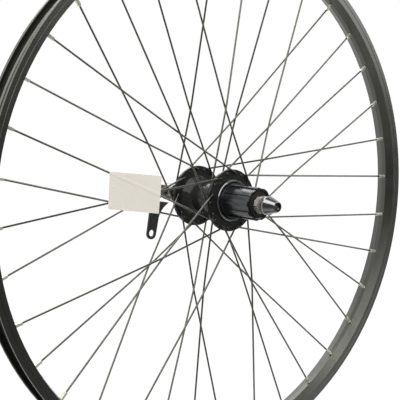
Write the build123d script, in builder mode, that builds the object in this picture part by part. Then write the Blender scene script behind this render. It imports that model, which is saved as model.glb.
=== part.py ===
from build123d import *
import os
from math import atan2, cos, degrees, pi, radians, sin, sqrt, tan

# Rear bicycle wheel without a tyre. The axle lies along Y through the origin, the rim's middle plane is
# y = 0, the drive side is -Y and +Z is up. All lengths are in millimetres and all angles in degrees.

# Rim, ISO 559 bead seat
BEAD_SEAT_RADIUS = 279.5
HOOK_HEIGHT = 6.0
RIM_WIDTH = 24.9
RIM_INNER_WIDTH = 19.0
RIM_DEPTH = 14.4
SIDEWALL_HEIGHT = 11.0
SIDEWALL_THICKNESS = 2.2
HOOK_LIP = 2.2
EDGE_BREAK = 0.6
BED_WIDTH = 5.6
BED_THICKNESS = 2.2
FLANK_THICKNESS = 1.6
FLOOR_THICKNESS = 1.3
BEAD_SHELF_WIDTH = 2.75
WELL_DEPTH = 1.9
TRACK_LINE_DEPTH = 0.35
TRACK_LINE_HEIGHT = 5.5
VALVE_HOLE_RADIUS = 4.25
STRIP_THICKNESS = 0.8
STRIP_CLEARANCE = 0.05
STRIP_HOLE_MARGIN = 0.35

# Lacing
SPOKE_COUNT = 36
CROSSES = 3
LACING_PHASE = 1.1
SPOKE_RADIUS = 1.0
SPOKE_HEAD_RADIUS = 1.9
SPOKE_HEAD_THICKNESS = 1.0
SPOKE_BEND_RADIUS = 2.2
SPOKE_FLANGE_GAP = 1.6
SPOKE_WEAVE_RADIUS = 250.0
SPOKE_CROSSING_GAP = 0.45
SPOKE_HOLE_CLEARANCE = 0.3
NIPPLE_SQUARE = 3.3
NIPPLE_NECK_RADIUS = 1.95
NIPPLE_HEAD_RADIUS = 2.9
NIPPLE_HEAD_HEIGHT = 1.4
NIPPLE_LENGTH = 8.6
NIPPLE_CLEARANCE = 0.25
NIPPLE_SEAT_GAP = 0.05
NIPPLE_THREAD_CLEARANCE = 0.05
ACCESS_HOLE_RADIUS = 4.0

# Hub shell
LOCKNUT_SPACING = 135.0
FLANGE_RADIUS = 33.0
FLANGE_THICKNESS = 3.5
SPOKE_HOLE_EDGE = 3.8
FLANGE_HOLE_CIRCLE = FLANGE_RADIUS - SPOKE_HOLE_EDGE
DRIVE_FLANGE_OFFSET = 16.7
LEFT_FLANGE_OFFSET = 38.8
SHELL_WAIST_RADIUS = 16.0
SHELL_ROOT_RADIUS = 22.5
SHELL_BORE_RADIUS = 9.0
COLLAR_RADIUS = 22.0
COLLAR_WALL = 2.0
COLLAR_HEIGHT = 3.3
COLLAR_DEPTH = 2.0
LEFT_BOSS_RADIUS = 17.5
CUP_RADIUS = 14.0

# Axle and ball bearings
AXLE_RADIUS = 5.0
AXLE_BORE_RADIUS = 2.8
AXLE_STUB = 5.5
AXLE_GROOVE_WIDTH = 0.6
AXLE_GROOVE_DEPTH = 0.6
AXLE_END_CHAMFER = 0.5
THREAD_CLEARANCE = 0.05
BALL_RADIUS = 3.175
BALLS_PER_SIDE = 9
BALL_SPACING_GAP = 0.05
BALL_CLEARANCE = 0.08
RACE_ARC = 60.0
CONE_RADIUS = 8.5
CONE_TIP = 1.2
CONE_WRENCH_FLATS = 15.0
CONE_WRENCH_LENGTH = 3.5
LOCKNUT_FLATS = 17.0
LEFT_LOCKNUT_THICKNESS = 5.1
RIGHT_LOCKNUT_THICKNESS = 4.3
LOCK_WASHER_RADIUS = 8.2
LOCK_WASHER_THICKNESS = 0.9
LEFT_SPACER_RADIUS = 7.5
LEFT_CONE_LENGTH = 11.5
LEFT_BALL_OFFSET = 8.65
DUST_CAP_THICKNESS = 1.1
DUST_GAP = 0.6
SEAL_RADIUS = 13.3
SEAL_THICKNESS = 1.2

# Freehub
FREEHUB_END = 61.8
FREEHUB_RIDGE_RADIUS = 17.25
FREEHUB_VALLEY_RADIUS = 16.0
FREEHUB_SPLINES = 9
FREEHUB_GROOVE_ARC = 21.0
FREEHUB_KEY_GROOVE_ARC = 13.0
FREEHUB_PHASE = 34.0
FREEHUB_BASE_RADIUS = 18.9
FREEHUB_BASE_LENGTH = 3.9
FREEHUB_SHELL_GAP = 0.8
FREEHUB_END_CHAMFER = 1.0
FREEHUB_THREAD_RADIUS = 15.1
FREEHUB_THREAD_LENGTH = 6.0
CORE_RADIUS = 13.2
CORE_END_RADIUS = 14.0
CORE_SPIGOT_RADIUS = 12.0
CORE_SPIGOT_LENGTH = 7.8
RIGHT_BALL_INSET = 6.0
BUSH_CLEARANCE = 0.04
BUSH_THICKNESS = 1.5
BUSH_LENGTH = 5.0
BUSH_END_GAP = 0.4
BOLT_RADIUS = 8.0
BOLT_BORE_RADIUS = 6.2
BOLT_HEAD_RADIUS = 10.2
BOLT_HEAD_LENGTH = 3.0
BOLT_THREAD_LENGTH = 8.0
BOLT_CLEARANCE = 0.2

# Ratchet
RATCHET_TEETH = 24
RATCHET_TIP_RADIUS = 13.7
RATCHET_ROOT_RADIUS = 14.7
RATCHET_LENGTH = 6.5
PAWL_WIDTH = 5.0
PAWL_SIDE_GAP = 0.3
PAWL_PIVOT_RADIUS = 10.8
PAWL_HEEL_RADIUS = 1.5
PAWL_HEEL_CLEARANCE = 0.06
PAWL_TIP_RADIUS = 14.25
PAWL_TIP_ARC = 38.0
PAWL_TIP_GAP = 0.5
PAWL_TOOTH_PLAY = 3.0
PAWL_FOLD = 9.0
PAWL_COUNT = 2
PAWL_PHASE = 70.0
PAWL_WIRE_RADIUS = 0.4
PAWL_WIRE_RING = 12.1
PAWL_WIRE_GAP_ARC = 40.0
PAWL_WIRE_CLEARANCE = 0.12

# Quick release
SKEWER_RADIUS = 2.5
SKEWER_THREAD_CLEARANCE = 0.05
DROPOUT_GAP_DRIVE = 5.5
DROPOUT_GAP_LEFT = 6.5
GRIP_RING_THICKNESS = 1.0
GRIP_TEETH = 18
GRIP_GROOVE_WIDTH = 0.9
END_RECESS_RADIUS = 6.3
NUT_BASE_RADIUS = 9.8
NUT_BASE_LENGTH = 3.0
NUT_TIP_RADIUS = 5.4
NUT_LENGTH = 15.5
NUT_RECESS_DEPTH = 6.0
NUT_END_HOLE_RADIUS = 4.3
NUT_END_HOLE_DEPTH = 3.0
NUT_NOTCH_RADIUS = 7.0
NUT_NOTCH_DEPTH = 1.6
NUT_NOTCH_ANGLE = -75.0
NUT_ROUNDING = 0.9
SKEWER_END_INSET = 1.7
HOUSING_RADIUS = 9.5
HOUSING_LENGTH = 20.7
CAM_PIVOT_INSET = 11.5
HOUSING_ROUNDING = 2.5
HOUSING_RECESS_DEPTH = 2.9
CAM_JOURNAL_RADIUS = 5.0
CAM_RUNNING_CLEARANCE = 0.05
CAM_PIN_RADIUS = 3.0
CAM_THROW = 1.75
EYE_SIDE_CLEARANCE = 0.5
EYE_WALL = 1.6
EYE_THICKNESS = 5.0
EYE_CAVITY_CLEARANCE = 0.35
CAM_STUB_RADIUS = 4.0
LEVER_LEAN = 11.0
LEVER_LENGTH = 57.0
LEVER_WIDTH = 13.6
LEVER_BLADE_OFFSET = 10.6
LEVER_TIP_WIDTH = 12.6
LEVER_THICKNESS = 3.4
LEVER_BOW = 10.8
LEVER_BOW_MIDDLE = (7.5, 12.0)
LEVER_BOW_END = 30.0
LEVER_SIDE_GAP = 0.4
LEVER_BOSS_RADIUS = 6.6
LEVER_BOSS_WIDTH = 4.4
LEVER_SHOULDER = 22.0
LEVER_NECK = 9.0
LEVER_WING_START = 12.5
LEVER_WING_REACH = 5.5
LEVER_WING_MIDDLE = (-0.9, 21.5)
LEVER_WING_END = 32.0
LEVER_SLOT_WIDTH = 7.4
LEVER_SLOT_LENGTH = 13.5
LEVER_SLOT_MARGIN = 3.4
LEVER_EDGE = 0.8
SPRING_WIRE_RADIUS = 0.4
SPRING_ROD_GAP = 0.3
SPRING_SEAT_GAP = 0.1
NUT_SPRING_TURNS = 3.0
HOUSING_SPRING_TURNS = 1.5

os.makedirs("parts", exist_ok=True)


def polar(radius, angle, y=0.0):
    """Point at a radius and an angle round the axle, counted from +X towards +Z."""
    return (radius * cos(radians(angle)), y, radius * sin(radians(angle)))


def flat_polar(radius, angle):
    """Point of a flat sketch at a radius and an angle."""
    return (radius * cos(radians(angle)), radius * sin(radians(angle)))


def turns(count):
    """Locations that repeat a piece evenly round the axle."""
    return [Location((0, 0, 0), (0, n * 360 / count, 0)) for n in range(count)]


def across(y, angle=0.0):
    """Plane square to the axle at y, with its own X at an angle round the axle and its normal towards -Y."""
    return Plane(origin=(0, y, 0), x_dir=polar(1, angle), z_dir=(0, -1, 0))


# Stations along the axle that several pieces share
locknut_face = LOCKNUT_SPACING / 2
axle_end = locknut_face + AXLE_STUB
drive_flange_face = DRIVE_FLANGE_OFFSET + FLANGE_THICKNESS / 2
left_flange_face = LEFT_FLANGE_OFFSET + FLANGE_THICKNESS / 2
collar_end = drive_flange_face + COLLAR_HEIGHT
shell_drive_end = collar_end - COLLAR_DEPTH
ball_ring = (BALL_RADIUS + BALL_SPACING_GAP / 2) / sin(pi / BALLS_PER_SIDE)
race_radius = BALL_RADIUS + BALL_CLEARANCE
left_ball_y = left_flange_face + LEFT_BALL_OFFSET - FLANGE_THICKNESS / 2
right_ball_y = -(FREEHUB_END - RIGHT_BALL_INSET)

# Rim
rim_radius = BEAD_SEAT_RADIUS + HOOK_HEIGHT
bed_radius = rim_radius - RIM_DEPTH
junction_radius = rim_radius - SIDEWALL_HEIGHT
half_width = RIM_WIDTH / 2
hook_half = RIM_INNER_WIDTH / 2
inner_half = half_width - SIDEWALL_THICKNESS
shelf_half = inner_half - BEAD_SHELF_WIDTH
well_radius = BEAD_SEAT_RADIUS - WELL_DEPTH
well_half = shelf_half - WELL_DEPTH
track_line_radius = rim_radius - TRACK_LINE_HEIGHT
flank_rise = (junction_radius - bed_radius) / (half_width - BED_WIDTH / 2)
flank_lift = FLANK_THICKNESS * sqrt(1 + flank_rise**2)
bed_top = bed_radius + BED_THICKNESS
bed_top_half = BED_WIDTH / 2 + (BED_THICKNESS - flank_lift) / flank_rise
flank_top = bed_radius + flank_lift + flank_rise * (inner_half - BED_WIDTH / 2)
floor_under_shelf = BEAD_SEAT_RADIUS - FLOOR_THICKNESS
floor_under_well = well_radius - FLOOR_THICKNESS
floor_step = FLOOR_THICKNESS * tan(radians(22.5))

spokes_per_set = SPOKE_COUNT // 4
nipple_pitch = 360 / SPOKE_COUNT
hub_turn = 720 * CROSSES / SPOKE_COUNT
valve_angle = LACING_PHASE + nipple_pitch / 2 + 2 * 360 / spokes_per_set
seat_radius = bed_radius + BED_THICKNESS / 2
nipple_hole_radius = NIPPLE_NECK_RADIUS + NIPPLE_CLEARANCE
spoke_hole_radius = SPOKE_RADIUS + SPOKE_HOLE_CLEARANCE


# The outermost crossing lies half way round between two neighbouring nipples of one flange
crossing_near_hub = FLANGE_HOLE_CIRCLE * sin(radians(hub_turn - nipple_pitch))
crossing_near_rim = seat_radius * sin(radians(nipple_pitch))
crossing_share = crossing_near_hub / (crossing_near_hub + crossing_near_rim)


def spoke_route(index, flange_y, leading):
    """Head, bend corner, outermost crossing and rim seat of the spoke at one of the first four nipples.

    A leading spoke leaves the flange's lever-side face, a trailing spoke its drive-side face, and each
    passes to the other side of its partner at the outermost crossing.
    """
    side = 1 if leading else -1
    rim_angle = LACING_PHASE + index * nipple_pitch
    hub_angle = rim_angle + (hub_turn if leading else -hub_turn)
    head_y = flange_y - side * FLANGE_THICKNESS / 2
    corner_y = flange_y + side * (FLANGE_THICKNESS / 2 + SPOKE_RADIUS + SPOKE_FLANGE_GAP)
    head = Vector(*polar(FLANGE_HOLE_CIRCLE, hub_angle, head_y))
    corner = Vector(*polar(FLANGE_HOLE_CIRCLE, hub_angle, corner_y))
    seat = Vector(*polar(seat_radius, rim_angle))
    crossing = corner + (seat - corner) * crossing_share
    crossing_y = flange_y * (1 - crossing_share) - side * (SPOKE_RADIUS + SPOKE_CROSSING_GAP / 2)
    return head, corner, Vector(crossing.X, crossing_y, crossing.Z), seat


spoke_sets = {
    "spokes_drive_leading": spoke_route(0, -DRIVE_FLANGE_OFFSET, True),
    "spokes_left_leading": spoke_route(1, LEFT_FLANGE_OFFSET, True),
    "spokes_drive_trailing": spoke_route(2, -DRIVE_FLANGE_OFFSET, False),
    "spokes_left_trailing": spoke_route(3, LEFT_FLANGE_OFFSET, False),
}
seat_planes = [
    Plane(origin=seat, z_dir=seat - crossing) for head, corner, crossing, seat in spoke_sets.values()
]
nipple_locations = [turn * plane.location for turn in turns(spokes_per_set) for plane in seat_planes]

# Stepped drill for one nipple along its spoke: neck hole, cone seat from the bed's middle, head room and
# access hole
head_hole_radius = NIPPLE_HEAD_RADIUS + NIPPLE_CLEARANCE
cone_end = head_hole_radius - nipple_hole_radius
access_start = floor_under_well - seat_radius - BED_THICKNESS / 2
with BuildPart() as nipple_drill:
    with BuildSketch(Plane.XZ):
        with BuildLine():
            Polyline(
                (0, -RIM_DEPTH / 2),
                (nipple_hole_radius, -RIM_DEPTH / 2),
                (nipple_hole_radius, 0),
                (head_hole_radius, cone_end),
                (head_hole_radius, access_start),
                (ACCESS_HOLE_RADIUS, access_start),
                (ACCESS_HOLE_RADIUS, RIM_DEPTH),
                (0, RIM_DEPTH),
                close=True,
            )
        make_face()
    revolve(axis=Axis.Z)

with BuildPart() as rim:
    with BuildSketch(Plane.XY):
        with BuildLine():
            Polyline(
                (bed_radius, 0),
                (bed_radius, BED_WIDTH / 2),
                (junction_radius, half_width),
                (track_line_radius - TRACK_LINE_DEPTH, half_width),
                (track_line_radius, half_width - TRACK_LINE_DEPTH),
                (track_line_radius + TRACK_LINE_DEPTH, half_width),
                (rim_radius - EDGE_BREAK, half_width),
                (rim_radius, half_width - EDGE_BREAK),
                (rim_radius, hook_half + EDGE_BREAK),
                (rim_radius - EDGE_BREAK, hook_half),
                (rim_radius - HOOK_LIP, hook_half),
                (rim_radius - HOOK_LIP - (inner_half - hook_half), inner_half),
                (BEAD_SEAT_RADIUS, inner_half),
                (BEAD_SEAT_RADIUS, shelf_half),
                (well_radius, well_half),
                (well_radius, 0),
                close=True,
            )
        make_face()
        with BuildLine():
            Polyline(
                (bed_top, 0),
                (bed_top, bed_top_half),
                (flank_top, inner_half),
                (floor_under_shelf, inner_half),
                (floor_under_shelf, shelf_half + floor_step),
                (floor_under_well, well_half + floor_step),
                (floor_under_well, 0),
                close=True,
            )
        make_face(mode=Mode.SUBTRACT)
        mirror(about=Plane.XZ)
    revolve(axis=Axis.Y)
    with Locations(*nipple_locations):
        add(nipple_drill.part, mode=Mode.SUBTRACT)
    with Locations(Plane(origin=polar(bed_radius, valve_angle), z_dir=polar(1, valve_angle))):
        Cylinder(VALVE_HOLE_RADIUS, 2 * RIM_DEPTH, mode=Mode.SUBTRACT)
rim.part.label = "rim"
export_step(rim.part, "parts/rim.step")

strip_radius = well_radius + STRIP_CLEARANCE
with BuildPart() as rim_strip:
    with BuildSketch(Plane.XY):
        with Locations((strip_radius + STRIP_THICKNESS / 2, 0)):
            Rectangle(STRIP_THICKNESS, 2 * (well_half - STRIP_CLEARANCE))
    revolve(axis=Axis.Y)
    with Locations(Plane(origin=polar(bed_radius, valve_angle), z_dir=polar(1, valve_angle))):
        Cylinder(VALVE_HOLE_RADIUS + STRIP_HOLE_MARGIN, 2 * RIM_DEPTH, mode=Mode.SUBTRACT)
rim_strip.part.label = "rim_strip"
export_step(rim_strip.part, "parts/rim_strip.step")

# Nipples: square shank for the key below the bed, round neck in the hole, cone head on the seat
neck_bottom = -BED_THICKNESS / 2 - NIPPLE_CLEARANCE - 2 * NIPPLE_NECK_RADIUS * sin(radians(nipple_pitch))
nipple_bottom = -BED_THICKNESS / 2 - NIPPLE_LENGTH
head_start = NIPPLE_SEAT_GAP * sqrt(2) - NIPPLE_CLEARANCE
head_edge = head_start + NIPPLE_HEAD_RADIUS - NIPPLE_NECK_RADIUS
head_top = head_edge + NIPPLE_HEAD_HEIGHT
nipple_bore = SPOKE_RADIUS + NIPPLE_THREAD_CLEARANCE
with BuildPart() as nipple:
    with BuildSketch(Plane.XY.offset(nipple_bottom)):
        RectangleRounded(NIPPLE_SQUARE, NIPPLE_SQUARE, NIPPLE_SQUARE / 6)
    extrude(amount=neck_bottom - nipple_bottom)
    with BuildSketch(Plane.XZ):
        with BuildLine():
            Polyline(
                (0, neck_bottom),
                (NIPPLE_NECK_RADIUS, neck_bottom),
                (NIPPLE_NECK_RADIUS, head_start),
                (NIPPLE_HEAD_RADIUS, head_edge),
                (NIPPLE_HEAD_RADIUS, head_top),
                (0, head_top),
                close=True,
            )
        make_face()
    revolve(axis=Axis.Z)
    with BuildSketch(Plane.XY.offset(nipple_bottom)):
        Circle(nipple_bore)
    extrude(amount=head_top - nipple_bottom, mode=Mode.SUBTRACT)
with BuildPart() as nipples:
    with Locations(*nipple_locations):
        add(nipple.part)
nipples.part.label = "nipples"
export_step(nipples.part, "parts/nipples.step")

# Spokes: a head on one flange face, a bend on the other, woven at the outermost crossing, then into the
# nipple
for set_name, (head, corner, crossing, seat) in spoke_sets.items():
    run = (seat - crossing).normalized()
    head_side = (head - corner).normalized()
    with BuildPart() as spoke:
        with BuildLine() as route:
            FilletPolyline(
                head,
                corner,
                crossing,
                seat + run * head_edge,
                radius=(SPOKE_BEND_RADIUS, SPOKE_WEAVE_RADIUS),
            )
        with BuildSketch(Plane(origin=head, z_dir=corner - head)):
            Circle(SPOKE_RADIUS)
        sweep(path=route.wires()[0])
        with BuildSketch(Plane(origin=head, z_dir=head_side)):
            Circle(SPOKE_HEAD_RADIUS)
        extrude(amount=SPOKE_HEAD_THICKNESS)
        head_top_centre = head + head_side * SPOKE_HEAD_THICKNESS
        head_edges = spoke.edges().filter_by(GeomType.CIRCLE).sort_by_distance(head_top_centre)
        head_rim = head_edges.filter_by(lambda edge: edge.radius > (SPOKE_RADIUS + SPOKE_HEAD_RADIUS) / 2)[0]
        chamfer(head_rim, length=SPOKE_HEAD_THICKNESS / 2)
    with BuildPart() as spokes:
        with Locations(*turns(spokes_per_set)):
            add(spoke.part)
    spokes.part.label = set_name
    export_step(spokes.part, f"parts/{set_name}.step")

# Hub shell: waisted barrel between two drilled flanges, a cup boss on the left, a collar and socket on
# the right
drive_inner_face = drive_flange_face - FLANGE_THICKNESS
left_inner_face = left_flange_face - FLANGE_THICKNESS
boss_end = left_ball_y + race_radius + DUST_CAP_THICKNESS + BALL_CLEARANCE
cup_back = left_ball_y - race_radius * sin(radians(RACE_ARC)) - BALL_RADIUS / 2
socket_depth = shell_drive_end - CORE_SPIGOT_LENGTH
bolt_end = socket_depth - BOLT_THREAD_LENGTH
waist_drive = -drive_inner_face + SHELL_ROOT_RADIUS - SHELL_WAIST_RADIUS
waist_left = left_inner_face - SHELL_ROOT_RADIUS + SHELL_WAIST_RADIUS
with BuildPart() as hub_shell:
    with BuildSketch(Plane.XY):
        with BuildLine():
            Polyline(
                (SHELL_ROOT_RADIUS, -drive_inner_face),
                (FLANGE_RADIUS - EDGE_BREAK, -drive_inner_face),
                (FLANGE_RADIUS, -drive_inner_face - EDGE_BREAK),
                (FLANGE_RADIUS, -drive_flange_face + EDGE_BREAK),
                (FLANGE_RADIUS - EDGE_BREAK, -drive_flange_face),
                (COLLAR_RADIUS, -drive_flange_face),
                (COLLAR_RADIUS, -collar_end + EDGE_BREAK),
                (COLLAR_RADIUS - EDGE_BREAK, -collar_end),
                (COLLAR_RADIUS - COLLAR_WALL, -collar_end),
                (COLLAR_RADIUS - COLLAR_WALL, -shell_drive_end),
                (CORE_SPIGOT_RADIUS, -shell_drive_end),
                (CORE_SPIGOT_RADIUS, -socket_depth),
                (BOLT_RADIUS, -socket_depth),
                (BOLT_RADIUS, -bolt_end),
                (SHELL_BORE_RADIUS, -bolt_end),
                (SHELL_BORE_RADIUS, cup_back),
                (CUP_RADIUS, cup_back),
                (CUP_RADIUS, boss_end),
                (LEFT_BOSS_RADIUS, boss_end),
                (LEFT_BOSS_RADIUS, left_flange_face),
                (FLANGE_RADIUS - EDGE_BREAK, left_flange_face),
                (FLANGE_RADIUS, left_flange_face - EDGE_BREAK),
                (FLANGE_RADIUS, left_inner_face + EDGE_BREAK),
                (FLANGE_RADIUS - EDGE_BREAK, left_inner_face),
                (SHELL_ROOT_RADIUS, left_inner_face),
            )
            FilletPolyline(
                (SHELL_ROOT_RADIUS, left_inner_face),
                (SHELL_WAIST_RADIUS, waist_left),
                (SHELL_WAIST_RADIUS, waist_drive),
                (SHELL_ROOT_RADIUS, -drive_inner_face),
                radius=SHELL_WAIST_RADIUS - SHELL_BORE_RADIUS,
            )
        make_face()
    revolve(axis=Axis.Y)
    for flange_y, first_index in ((-DRIVE_FLANGE_OFFSET, 0), (LEFT_FLANGE_OFFSET, 1)):
        first_hole = LACING_PHASE + first_index * nipple_pitch + hub_turn
        hole_pitch = 720 / SPOKE_COUNT
        holes = [
            polar(FLANGE_HOLE_CIRCLE, first_hole + n * hole_pitch, flange_y)
            for n in range(SPOKE_COUNT // 2)
        ]
        with Locations(*holes):
            Cylinder(spoke_hole_radius, 2 * FLANGE_THICKNESS, rotation=(90, 0, 0), mode=Mode.SUBTRACT)
hub_shell.part.label = "hub_shell"
export_step(hub_shell.part, "parts/hub_shell.step")

# Left ball cup and dust cap in the shell's left boss
race_top = ball_ring + race_radius
race_foot = (ball_ring + race_radius * cos(radians(RACE_ARC)), race_radius * sin(radians(RACE_ARC)))
with BuildPart() as left_bearing_cup:
    with BuildSketch(Plane.XY):
        with BuildLine():
            CenterArc((ball_ring, left_ball_y), race_radius, -RACE_ARC, RACE_ARC)
            Polyline(
                (race_top, left_ball_y),
                (race_top, left_ball_y + race_radius),
                (CUP_RADIUS, left_ball_y + race_radius),
                (CUP_RADIUS, cup_back),
                (race_foot[0], cup_back),
                (race_foot[0], left_ball_y - race_foot[1]),
            )
        make_face()
    revolve(axis=Axis.Y)
left_bearing_cup.part.label = "left_bearing_cup"
export_step(left_bearing_cup.part, "parts/left_bearing_cup.step")

cap_back = left_ball_y + race_radius
with BuildPart() as left_dust_cap:
    with BuildSketch(Plane.XY):
        with BuildLine():
            Polyline(
                (CONE_RADIUS + DUST_GAP, cap_back + BALL_CLEARANCE),
                (CUP_RADIUS, cap_back),
                (CUP_RADIUS, boss_end),
                (CONE_RADIUS + DUST_GAP + DUST_CAP_THICKNESS, boss_end),
                (CONE_RADIUS + DUST_GAP, boss_end - BALL_CLEARANCE),
                close=True,
            )
        make_face()
    revolve(axis=Axis.Y)
left_dust_cap.part.label = "left_dust_cap"
export_step(left_dust_cap.part, "parts/left_dust_cap.step")

# Axle, hollow, with a run-out groove under each locknut face and a plain end for the frame
with BuildPart() as axle:
    with BuildSketch(Plane.XY):
        with BuildLine():
            Polyline(
                (AXLE_BORE_RADIUS, 0),
                (AXLE_RADIUS, 0),
                (AXLE_RADIUS, locknut_face - AXLE_GROOVE_WIDTH),
                (AXLE_RADIUS - AXLE_GROOVE_DEPTH, locknut_face - AXLE_GROOVE_WIDTH),
                (AXLE_RADIUS - AXLE_GROOVE_DEPTH, locknut_face),
                (AXLE_RADIUS, locknut_face),
                (AXLE_RADIUS, axle_end - AXLE_END_CHAMFER),
                (AXLE_RADIUS - AXLE_END_CHAMFER, axle_end),
                (AXLE_BORE_RADIUS, axle_end),
                close=True,
            )
        make_face()
        mirror(about=Plane.XZ)
    revolve(axis=Axis.Y)
axle.part.label = "axle"
export_step(axle.part, "parts/axle.step")

# Cones: ball race, a round skirt, and wrench flats on the left one
thread_radius = AXLE_RADIUS + THREAD_CLEARANCE
race_neck = ball_ring - race_radius
cone_foot = ball_ring - race_radius * cos(radians(RACE_ARC))
left_cone_end = left_ball_y + LEFT_CONE_LENGTH
with BuildPart() as left_cone:
    with BuildSketch(Plane.XY):
        with BuildLine():
            CenterArc((ball_ring, left_ball_y), race_radius, 180 - RACE_ARC, RACE_ARC)
            Polyline(
                (race_neck, left_ball_y),
                (race_neck, left_ball_y - CONE_TIP),
                (thread_radius, left_ball_y - CONE_TIP),
                (thread_radius, left_cone_end),
                (CONE_RADIUS, left_cone_end),
                (CONE_RADIUS, left_ball_y + race_radius),
                (cone_foot, left_ball_y + race_foot[1]),
            )
        make_face()
    revolve(axis=Axis.Y)
    with BuildSketch(across(left_cone_end - CONE_WRENCH_LENGTH)):
        Circle(2 * CONE_RADIUS)
        Rectangle(4 * CONE_RADIUS, CONE_WRENCH_FLATS, mode=Mode.SUBTRACT)
    extrude(amount=-2 * CONE_WRENCH_LENGTH, mode=Mode.SUBTRACT)
left_cone.part.label = "left_cone"
export_step(left_cone.part, "parts/left_cone.step")

right_locknut_back = -locknut_face + RIGHT_LOCKNUT_THICKNESS
right_cone_end = right_locknut_back + LOCK_WASHER_THICKNESS
with BuildPart() as right_cone:
    with BuildSketch(Plane.XY):
        with BuildLine():
            CenterArc((ball_ring, right_ball_y), race_radius, 180, RACE_ARC)
            Polyline(
                (race_neck, right_ball_y),
                (race_neck, right_ball_y + CONE_TIP),
                (thread_radius, right_ball_y + CONE_TIP),
                (thread_radius, right_cone_end),
                (CONE_RADIUS, right_cone_end),
                (CONE_RADIUS, right_ball_y - race_radius),
                (cone_foot, right_ball_y - race_foot[1]),
            )
        make_face()
    revolve(axis=Axis.Y)
right_cone.part.label = "right_cone"
export_step(right_cone.part, "parts/right_cone.step")

# Dust seal on the right cone, just inside the freehub's mouth
seal_back = right_ball_y - race_radius - DUST_GAP
with BuildPart() as right_dust_seal:
    with BuildSketch(Plane.XY):
        with BuildLine():
            Polyline(
                (CONE_RADIUS, seal_back),
                (SEAL_RADIUS, seal_back),
                (SEAL_RADIUS, seal_back - SEAL_THICKNESS / 2),
                (SEAL_RADIUS - SEAL_THICKNESS / 2, seal_back - SEAL_THICKNESS),
                (CONE_RADIUS, seal_back - SEAL_THICKNESS),
                close=True,
            )
        make_face()
    revolve(axis=Axis.Y)
right_dust_seal.part.label = "right_dust_seal"
export_step(right_dust_seal.part, "parts/right_dust_seal.step")

# Lock washers, left spacer and hexagon locknuts
left_locknut_back = locknut_face - LEFT_LOCKNUT_THICKNESS
left_washer_back = left_locknut_back - LOCK_WASHER_THICKNESS
with BuildPart() as left_spacer:
    with BuildSketch(across(left_washer_back)):
        Circle(LEFT_SPACER_RADIUS)
        Circle(thread_radius, mode=Mode.SUBTRACT)
    extrude(amount=left_washer_back - left_cone_end)
left_spacer.part.label = "left_spacer"
export_step(left_spacer.part, "parts/left_spacer.step")

for washer_name, washer_y in (
    ("left_lock_washer", left_locknut_back),
    ("right_lock_washer", right_cone_end),
):
    with BuildPart() as lock_washer:
        with BuildSketch(across(washer_y)):
            Circle(LOCK_WASHER_RADIUS)
            Circle(thread_radius, mode=Mode.SUBTRACT)
        extrude(amount=LOCK_WASHER_THICKNESS)
    lock_washer.part.label = washer_name
    export_step(lock_washer.part, f"parts/{washer_name}.step")

locknuts = (
    ("left_locknut", locknut_face, LEFT_LOCKNUT_THICKNESS, 1),
    ("right_locknut", right_locknut_back, RIGHT_LOCKNUT_THICKNESS, -1),
)
for nut_name, high_face, nut_thickness, outer_side in locknuts:
    with BuildPart() as locknut:
        with BuildSketch(across(high_face)):
            RegularPolygon(LOCKNUT_FLATS / 2, 6, major_radius=False)
            Circle(thread_radius, mode=Mode.SUBTRACT)
        extrude(amount=nut_thickness)
        with BuildSketch(Plane.XY):
            outer_face = outer_side * locknut_face
            corner_radius = LOCKNUT_FLATS / sqrt(3)
            with BuildLine():
                Polyline(
                    (corner_radius, outer_face - outer_side * nut_thickness),
                    (corner_radius, outer_face - outer_side * (corner_radius - LOCKNUT_FLATS / 2) / 2),
                    (LOCKNUT_FLATS / 2, outer_face),
                    (0, outer_face),
                    (0, outer_face - outer_side * nut_thickness),
                    close=True,
                )
            make_face()
        revolve(axis=Axis.Y, mode=Mode.INTERSECT)
    locknut.part.label = nut_name
    export_step(locknut.part, f"parts/{nut_name}.step")

# Bearing balls, one ring on each side
with BuildPart() as bearing_balls:
    ball_points = [
        polar(ball_ring, n * 360 / BALLS_PER_SIDE, ball_y)
        for ball_y in (left_ball_y, right_ball_y)
        for n in range(BALLS_PER_SIDE)
    ]
    with Locations(*ball_points):
        Sphere(BALL_RADIUS)
bearing_balls.part.label = "bearing_balls"
export_step(bearing_balls.part, "parts/bearing_balls.step")

# Freehub stations
barrel_base = -(shell_drive_end + FREEHUB_SHELL_GAP)
spline_start = barrel_base - FREEHUB_BASE_LENGTH
thread_start = -FREEHUB_END + FREEHUB_THREAD_LENGTH
bush_bore = CORE_RADIUS + BUSH_CLEARANCE
bush_seat = bush_bore + BUSH_THICKNESS
inner_bush_start = barrel_base - BUSH_END_GAP
inner_bush_end = inner_bush_start - BUSH_LENGTH
ratchet_start = inner_bush_end - BUSH_END_GAP
ratchet_end = ratchet_start - RATCHET_LENGTH
outer_bush_start = ratchet_end - BUSH_END_GAP
outer_bush_end = outer_bush_start - BUSH_LENGTH
pawl_start = ratchet_start - (RATCHET_LENGTH - PAWL_WIDTH) / 2
pawl_middle = pawl_start - PAWL_WIDTH / 2

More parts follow.
